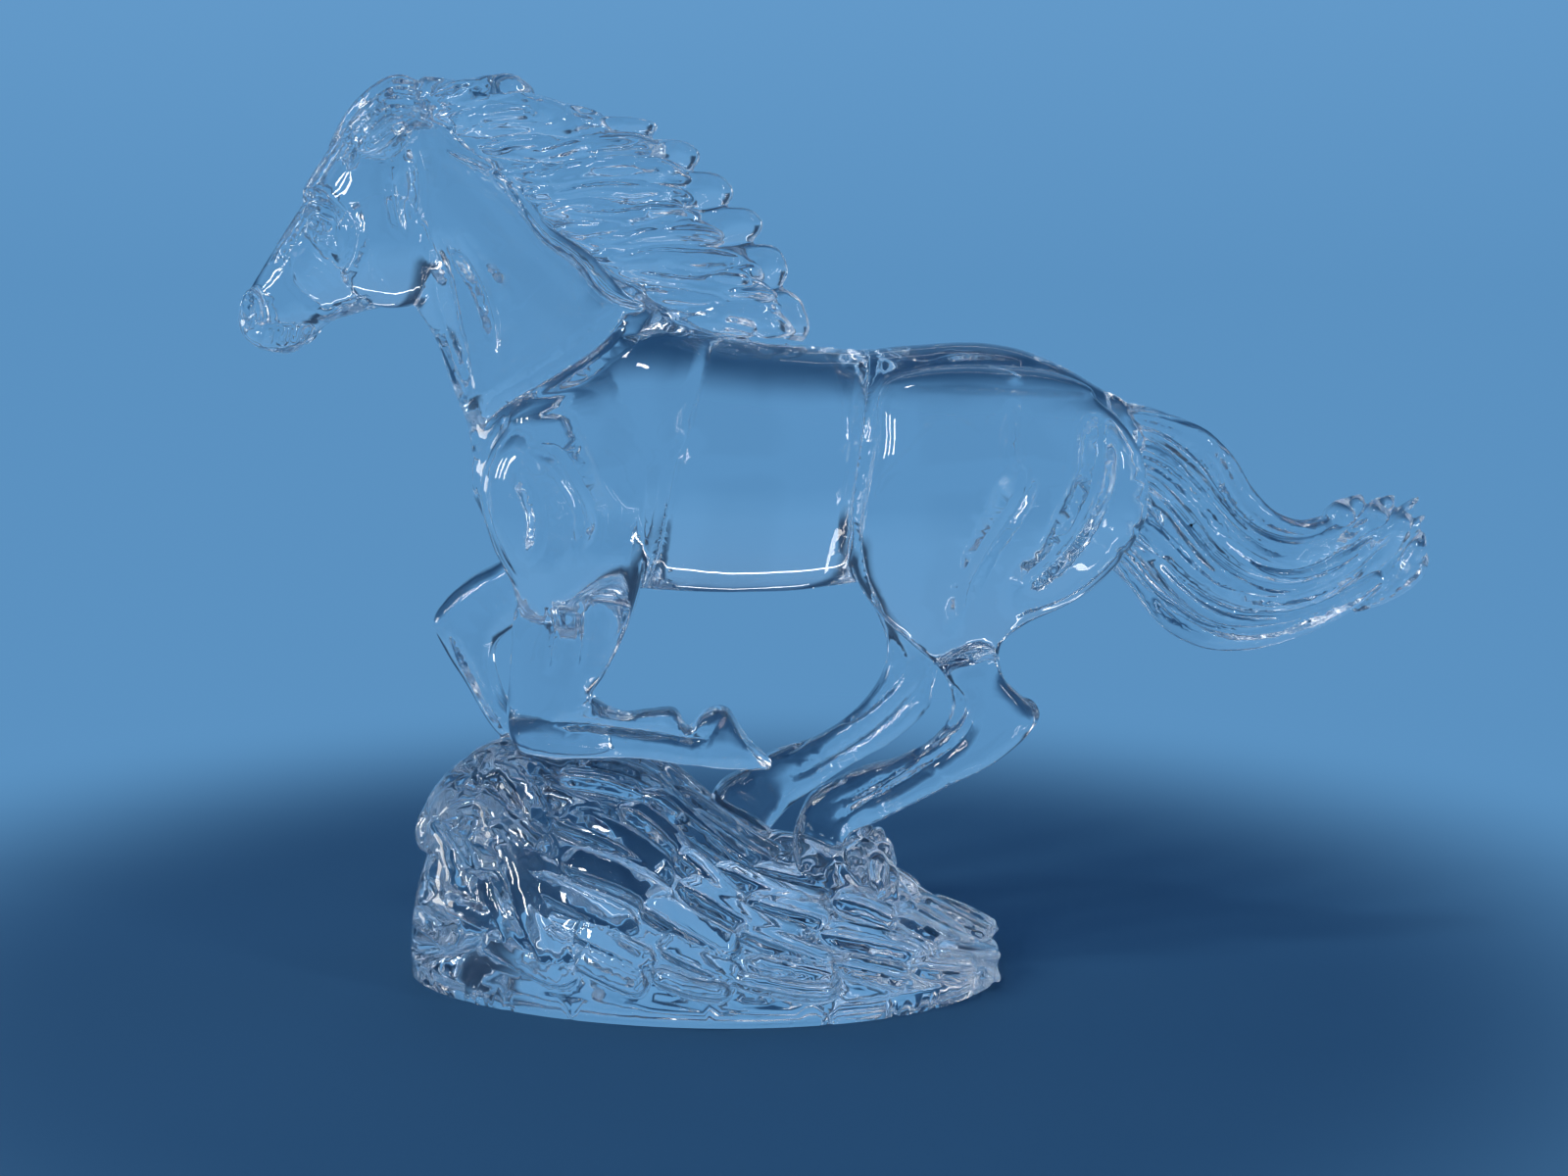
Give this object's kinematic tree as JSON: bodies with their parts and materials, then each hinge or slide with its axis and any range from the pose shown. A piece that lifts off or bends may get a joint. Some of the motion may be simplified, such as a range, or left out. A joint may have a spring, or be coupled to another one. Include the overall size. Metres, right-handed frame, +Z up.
{
  "type": "crystal horse sculpture",
  "caption": "Clear pressed-glass figure of a galloping horse, moulded in one with an oval mound of wind-blown grass that it stands on.",
  "frame": {"origin": "middle of the base's flat underside", "axes": "+Z up; the horse gallops towards -X with its tail towards +X; its left side faces -Y"},
  "size_m": [0.2532, 0.085, 0.1915],
  "materials": {
    "clear_crystal": "fire-polished clear crystal, smooth on the body, with softened moulded grooves in mane, tail and grass"
  },
  "bodies": {
    "root": {"crystal_horse": "clear_crystal"}
  },
  "joints": []
}
